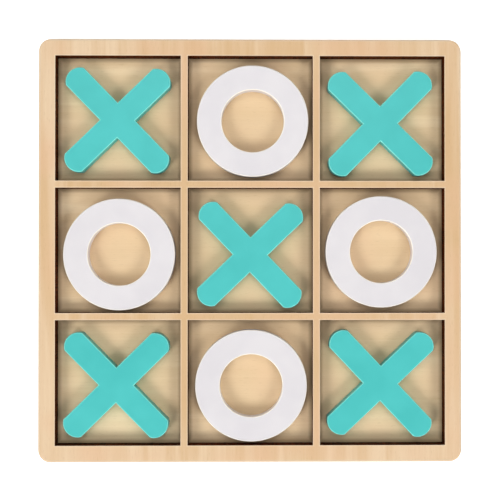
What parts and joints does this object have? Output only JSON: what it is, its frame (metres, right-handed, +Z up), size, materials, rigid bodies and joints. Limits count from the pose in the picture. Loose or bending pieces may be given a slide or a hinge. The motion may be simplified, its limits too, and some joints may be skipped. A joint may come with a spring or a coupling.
{
  "type": "tic tac toe set",
  "caption": "Square plywood game board with a lattice of cells on a thin base panel, and loose painted crosses and rings that lie in the cells and lift out.",
  "frame": {"origin": "centre of the board's underside, on the surface that it stands on", "axes": "+Z up out of the cells, +X to the right along a side of the board, +Y to the back"},
  "size_m": [0.24, 0.24, 0.012],
  "materials": {
    "base_plywood": "sanded",
    "frame_plywood": "sanded, with the cell walls charred by the laser",
    "turquoise_paint": "satin paint",
    "white_paint": "satin paint"
  },
  "bodies": {
    "board": {"base_panel": "base_plywood", "grid_frame": "frame_plywood"},
    "cross_back_left": {"cross_back_left": "turquoise_paint"},
    "cross_back_right": {"cross_back_right": "turquoise_paint"},
    "cross_centre": {"cross_centre": "turquoise_paint"},
    "cross_front_left": {"cross_front_left": "turquoise_paint"},
    "cross_front_right": {"cross_front_right": "turquoise_paint"},
    "ring_back": {"ring_back": "white_paint"},
    "ring_left": {"ring_left": "white_paint"},
    "ring_right": {"ring_right": "white_paint"},
    "ring_front": {"ring_front": "white_paint"}
  },
  "joints": [
    {"name": "cross_back_left_lift", "type": "slide", "parent": "board", "child": "cross_back_left", "axis": [0, 0, 1], "range_m": [0, 0.03]},
    {"name": "cross_back_right_lift", "type": "slide", "parent": "board", "child": "cross_back_right", "axis": [0, 0, 1], "range_m": [0, 0.03]},
    {"name": "cross_centre_lift", "type": "slide", "parent": "board", "child": "cross_centre", "axis": [0, 0, 1], "range_m": [0, 0.03]},
    {"name": "cross_front_left_lift", "type": "slide", "parent": "board", "child": "cross_front_left", "axis": [0, 0, 1], "range_m": [0, 0.03]},
    {"name": "cross_front_right_lift", "type": "slide", "parent": "board", "child": "cross_front_right", "axis": [0, 0, 1], "range_m": [0, 0.03]},
    {"name": "ring_back_lift", "type": "slide", "parent": "board", "child": "ring_back", "axis": [0, 0, 1], "range_m": [0, 0.03]},
    {"name": "ring_left_lift", "type": "slide", "parent": "board", "child": "ring_left", "axis": [0, 0, 1], "range_m": [0, 0.03]},
    {"name": "ring_right_lift", "type": "slide", "parent": "board", "child": "ring_right", "axis": [0, 0, 1], "range_m": [0, 0.03]},
    {"name": "ring_front_lift", "type": "slide", "parent": "board", "child": "ring_front", "axis": [0, 0, 1], "range_m": [0, 0.03]}
  ]
}
